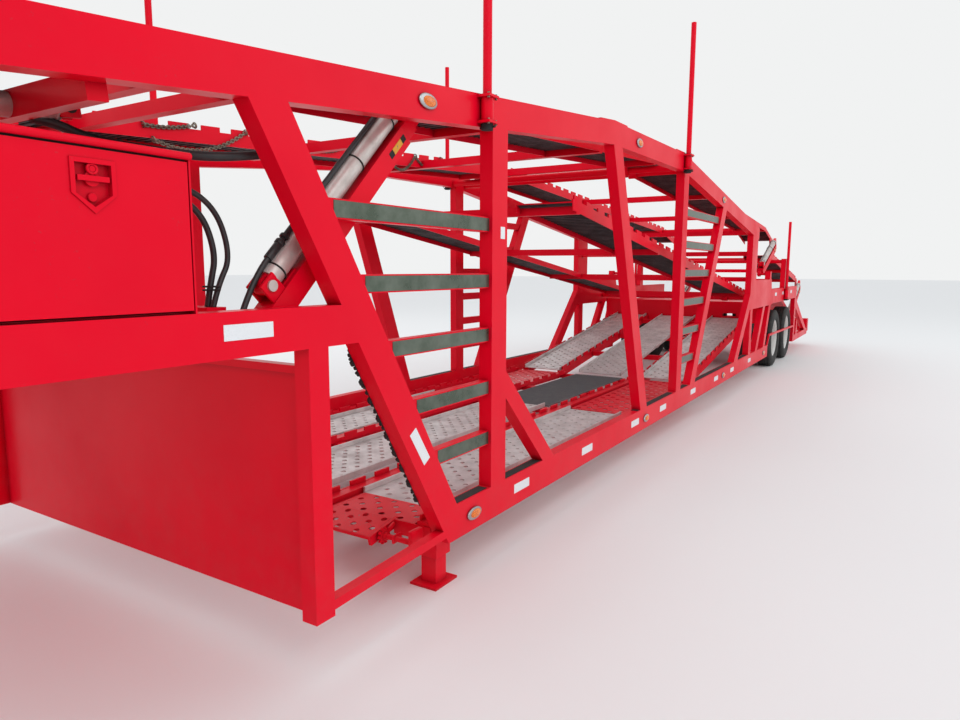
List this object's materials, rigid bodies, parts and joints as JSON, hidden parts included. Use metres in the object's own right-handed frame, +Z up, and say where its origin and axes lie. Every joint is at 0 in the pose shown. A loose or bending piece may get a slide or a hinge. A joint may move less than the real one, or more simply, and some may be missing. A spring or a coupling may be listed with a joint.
{
  "type": "car transporter semi-trailer",
  "caption": "Red two-level car transporter semi-trailer with tilting decks, lift legs, ladders, tool lockers and twin rear wheels, parked on its landing legs.",
  "frame": {"origin": "middle of the overall box, on the ground", "axes": "+X points to the rear of the trailer, +Z up, and +Y to its right-hand side, for someone behind it who looks forwards"},
  "size_m": [17.4, 2.73, 3.75],
  "materials": {
    "red_paint": "semi-gloss",
    "galvanised_steel": "satin",
    "aluminium_tracks": "satin",
    "tyre_rubber": "matt",
    "wheel_steel": "satin",
    "amber_lens": "gloss",
    "hose_rubber": "satin",
    "bright_steel": "polished",
    "dark_iron": "matt"
  },
  "bodies": {
    "trailer": {"axle_deck": "red_paint", "axles": "dark_iron", "bulkhead": "red_paint", "bumper": "red_paint", "cross_shafts": "red_paint", "deck_ledges": "red_paint", "floor_frame": "red_paint", "floor_grates": "red_paint", "floor_tie_rails": "red_paint", "floor_tracks": "aluminium_tracks", "hydraulic_hoses": "hose_rubber", "ladder_rungs": "galvanised_steel", "landing_legs": "red_paint", "leg_brackets": "red_paint", "lockers": "red_paint", "lower_rails": "red_paint", "marker_lamps": "amber_lens", "neck_frame": "red_paint", "poles": "red_paint", "ramp_frame": "red_paint", "ramp_tracks": "aluminium_tracks", "rear_entry": "red_paint", "rear_frames": "red_paint", "side_braces": "red_paint", "side_plates": "red_paint", "side_posts": "red_paint", "slide_brackets": "red_paint", "slide_cylinder_barrels": "bright_steel", "suspension": "dark_iron", "top_rails": "red_paint", "wheel_guards": "red_paint"},
    "front_deck": {"front_deck": "red_paint", "slide_cylinder_rods": "bright_steel"},
    "upper_deck": {"upper_deck": "red_paint"},
    "rear_deck": {"rear_deck": "red_paint"},
    "middle_deck": {"middle_deck": "red_paint"},
    "tail_deck": {"tail_deck": "red_paint"},
    "locker_door_left": {"locker_door_left": "red_paint"},
    "locker_door_right": {"locker_door_right": "red_paint"},
    "upper_leg_outer": {"upper_leg_outer": "red_paint", "upper_cylinder_barrel": "bright_steel", "upper_leg_hoses": "hose_rubber"},
    "upper_leg_inner": {"upper_leg_inner": "red_paint", "upper_cylinder_rod": "bright_steel"},
    "rear_leg_outer": {"rear_leg_outer": "red_paint", "rear_cylinder_barrel": "bright_steel"},
    "rear_leg_inner": {"rear_leg_inner": "red_paint", "rear_cylinder_rod": "bright_steel"},
    "tail_leg_outer": {"tail_leg_outer": "red_paint", "tail_cylinder_barrel": "bright_steel"},
    "tail_leg_inner": {"tail_leg_inner": "red_paint", "tail_cylinder_rod": "bright_steel"},
    "wheels_front_left": {"tyres_front_left": "tyre_rubber", "wheel_front_left": "wheel_steel"},
    "wheels_front_right": {"tyres_front_right": "tyre_rubber", "wheel_front_right": "wheel_steel"},
    "wheels_rear_left": {"tyres_rear_left": "tyre_rubber", "wheel_rear_left": "wheel_steel"},
    "wheels_rear_right": {"tyres_rear_right": "tyre_rubber", "wheel_rear_right": "wheel_steel"}
  },
  "joints": [
    {"name": "upper_deck_tilt", "type": "hinge", "parent": "trailer", "child": "upper_deck", "pos_m": [-1.08, 0, 2.51], "axis": [0, 1, 0], "range_deg": [0, 10]},
    {"name": "rear_deck_tilt", "type": "hinge", "parent": "trailer", "child": "rear_deck", "pos_m": [-0.85, 0, 2.51], "axis": [0, -1, 0], "range_deg": [0, 8]},
    {"name": "tail_deck_tilt", "type": "hinge", "parent": "trailer", "child": "tail_deck", "pos_m": [5.25, 0, 1.725], "axis": [0, -1, 0], "range_deg": [0, 14]},
    {"name": "middle_deck_tilt", "type": "hinge", "parent": "trailer", "child": "middle_deck", "pos_m": [3.31, 0, 1.165], "axis": [0, 1, 0], "range_deg": [-6, 0]},
    {"name": "upper_leg_swing", "type": "hinge", "parent": "trailer", "child": "upper_leg_outer", "pos_m": [-5.827, 0, 1.34], "axis": [0, -1, 0], "range_deg": [0, 14.13]},
    {"name": "upper_leg_extend", "type": "slide", "parent": "upper_leg_outer", "child": "upper_leg_inner", "axis": [0.7071, 0, 0.7071], "range_m": [0, 0.5393]},
    {"name": "rear_leg_swing", "type": "hinge", "parent": "trailer", "child": "rear_leg_outer", "pos_m": [3.8, 0, 1.52], "axis": [0, -1, 0], "range_deg": [0, 25.14]},
    {"name": "rear_leg_extend", "type": "slide", "parent": "rear_leg_outer", "child": "rear_leg_inner", "axis": [0.936, 0, 0.3519], "range_m": [0, 0.4762]},
    {"name": "tail_leg_swing", "type": "hinge", "parent": "trailer", "child": "tail_leg_outer", "pos_m": [6.95, 0, 0.6], "axis": [0, -1, 0], "range_deg": [0, 19.91]},
    {"name": "tail_leg_extend", "type": "slide", "parent": "tail_leg_outer", "child": "tail_leg_inner", "axis": [0.901, 0, 0.4338], "range_m": [0, 0.4654]},
    {"name": "front_deck_slide", "type": "slide", "parent": "trailer", "child": "front_deck", "axis": [-0.9949, 0, -0.1012], "range_m": [0, 0.6]},
    {"name": "locker_door_left_hinge", "type": "hinge", "parent": "trailer", "child": "locker_door_left", "pos_m": [-6.79, -1.284, 1.472], "axis": [1, 0, 0], "range_deg": [0, 90]},
    {"name": "locker_door_right_hinge", "type": "hinge", "parent": "trailer", "child": "locker_door_right", "pos_m": [-6.79, 1.284, 1.472], "axis": [-1, 0, 0], "range_deg": [0, 90]},
    {"name": "wheels_front_left_spin", "type": "hinge", "parent": "trailer", "child": "wheels_front_left", "pos_m": [4.75, -0.977, 0.465], "axis": [0, 1, 0], "continuous": true},
    {"name": "wheels_front_right_spin", "type": "hinge", "parent": "trailer", "child": "wheels_front_right", "pos_m": [4.75, 0.977, 0.465], "axis": [0, 1, 0], "continuous": true},
    {"name": "wheels_rear_left_spin", "type": "hinge", "parent": "trailer", "child": "wheels_rear_left", "pos_m": [5.995, -0.977, 0.465], "axis": [0, 1, 0], "continuous": true},
    {"name": "wheels_rear_right_spin", "type": "hinge", "parent": "trailer", "child": "wheels_rear_right", "pos_m": [5.995, 0.977, 0.465], "axis": [0, 1, 0], "continuous": true}
  ],
  "couplings": [
    {"joint": "upper_leg_swing", "follows": "upper_deck_tilt", "ratio": 1.4075},
    {"joint": "upper_leg_extend", "follows": "upper_deck_tilt", "m_per_rad": 3.0869},
    {"joint": "rear_leg_swing", "follows": "rear_deck_tilt", "ratio": 3.1365},
    {"joint": "rear_leg_extend", "follows": "rear_deck_tilt", "m_per_rad": 3.4069},
    {"joint": "tail_leg_swing", "follows": "tail_deck_tilt", "ratio": 1.4186},
    {"joint": "tail_leg_extend", "follows": "tail_deck_tilt", "m_per_rad": 1.9026}
  ]
}
